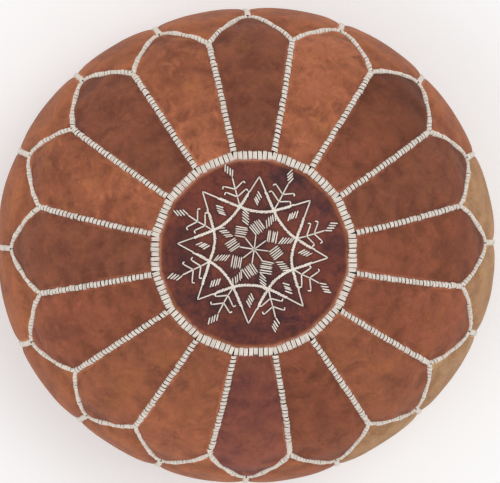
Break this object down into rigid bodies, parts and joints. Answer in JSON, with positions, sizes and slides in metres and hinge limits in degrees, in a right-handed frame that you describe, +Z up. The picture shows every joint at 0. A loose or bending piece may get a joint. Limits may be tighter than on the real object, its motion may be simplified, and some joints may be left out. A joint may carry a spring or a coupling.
{
  "type": "round leather pouf",
  "caption": "Round stuffed leather pouf with an embroidered top medallion, pointed petal panels, side panels below them and a zipped base.",
  "frame": {"origin": "middle of the flat base, on the floor", "axes": "+Z up, +Y towards the middle of the first petal, +X along the zip towards its closed end and along the longer way across"},
  "size_m": [0.5346, 0.5132, 0.3015],
  "materials": {
    "medallion_leather": "dark red-brown goat leather, fine grain, satin",
    "caramel_leather": "light caramel goat leather, mottled, satin",
    "tan_leather": "tan goat leather, mottled, satin",
    "chestnut_leather": "chestnut goat leather, mottled, satin",
    "walnut_leather": "walnut goat leather, mottled, satin",
    "umber_leather": "dark umber goat leather, mottled, satin",
    "side_leather": "tan goat leather, mottled, satin",
    "base_leather": "plain tan split leather, matt",
    "cream_thread": "cream rayon and cotton thread",
    "cotton_stuffing": "off-white cotton wadding and cloth offcuts",
    "zip_tape_cloth": "brown woven zip tape",
    "zip_brass": "antique brass"
  },
  "bodies": {
    "cover": {"medallion": "medallion_leather", "petal_01": "walnut_leather", "petal_02": "caramel_leather", "petal_03": "chestnut_leather", "petal_04": "walnut_leather", "petal_05": "chestnut_leather", "petal_06": "chestnut_leather", "petal_07": "tan_leather", "petal_08": "umber_leather", "petal_09": "umber_leather", "petal_10": "tan_leather", "petal_11": "tan_leather", "petal_12": "chestnut_leather", "petal_13": "walnut_leather", "petal_14": "caramel_leather", "petal_15": "walnut_leather", "petal_16": "caramel_leather", "side_panel_01": "side_leather", "side_panel_02": "side_leather", "side_panel_03": "side_leather", "side_panel_04": "side_leather", "side_panel_05": "side_leather", "side_panel_06": "side_leather", "side_panel_07": "side_leather", "side_panel_08": "side_leather", "side_panel_09": "side_leather", "side_panel_10": "side_leather", "side_panel_11": "side_leather", "side_panel_12": "side_leather", "side_panel_13": "side_leather", "side_panel_14": "side_leather", "side_panel_15": "side_leather", "side_panel_16": "side_leather", "top_seam_stitching": "cream_thread", "side_seam_stitching": "cream_thread", "base_seam_stitching": "cream_thread", "star_embroidery": "cream_thread", "rosette_embroidery": "cream_thread", "stuffing": "cotton_stuffing", "base_half_front": "base_leather", "base_half_back": "base_leather", "zip_tape_front": "zip_tape_cloth", "zip_tape_back": "zip_tape_cloth", "zip_chain_front": "zip_brass", "zip_chain_back": "zip_brass", "zip_top_stop_front": "zip_brass", "zip_top_stop_back": "zip_brass", "zip_bottom_stop": "zip_brass"},
    "slider": {"zip_slider": "zip_brass"},
    "pull": {"zip_pull": "zip_brass"}
  },
  "joints": [
    {"name": "zip_slide", "type": "slide", "parent": "cover", "child": "slider", "axis": [-1, 0, 0], "range_m": [0, 0.332]},
    {"name": "pull_hinge", "type": "hinge", "parent": "slider", "child": "pull", "pos_m": [0.165, 0, 0.00525], "axis": [0, -1, 0], "range_deg": [0, 180]}
  ]
}
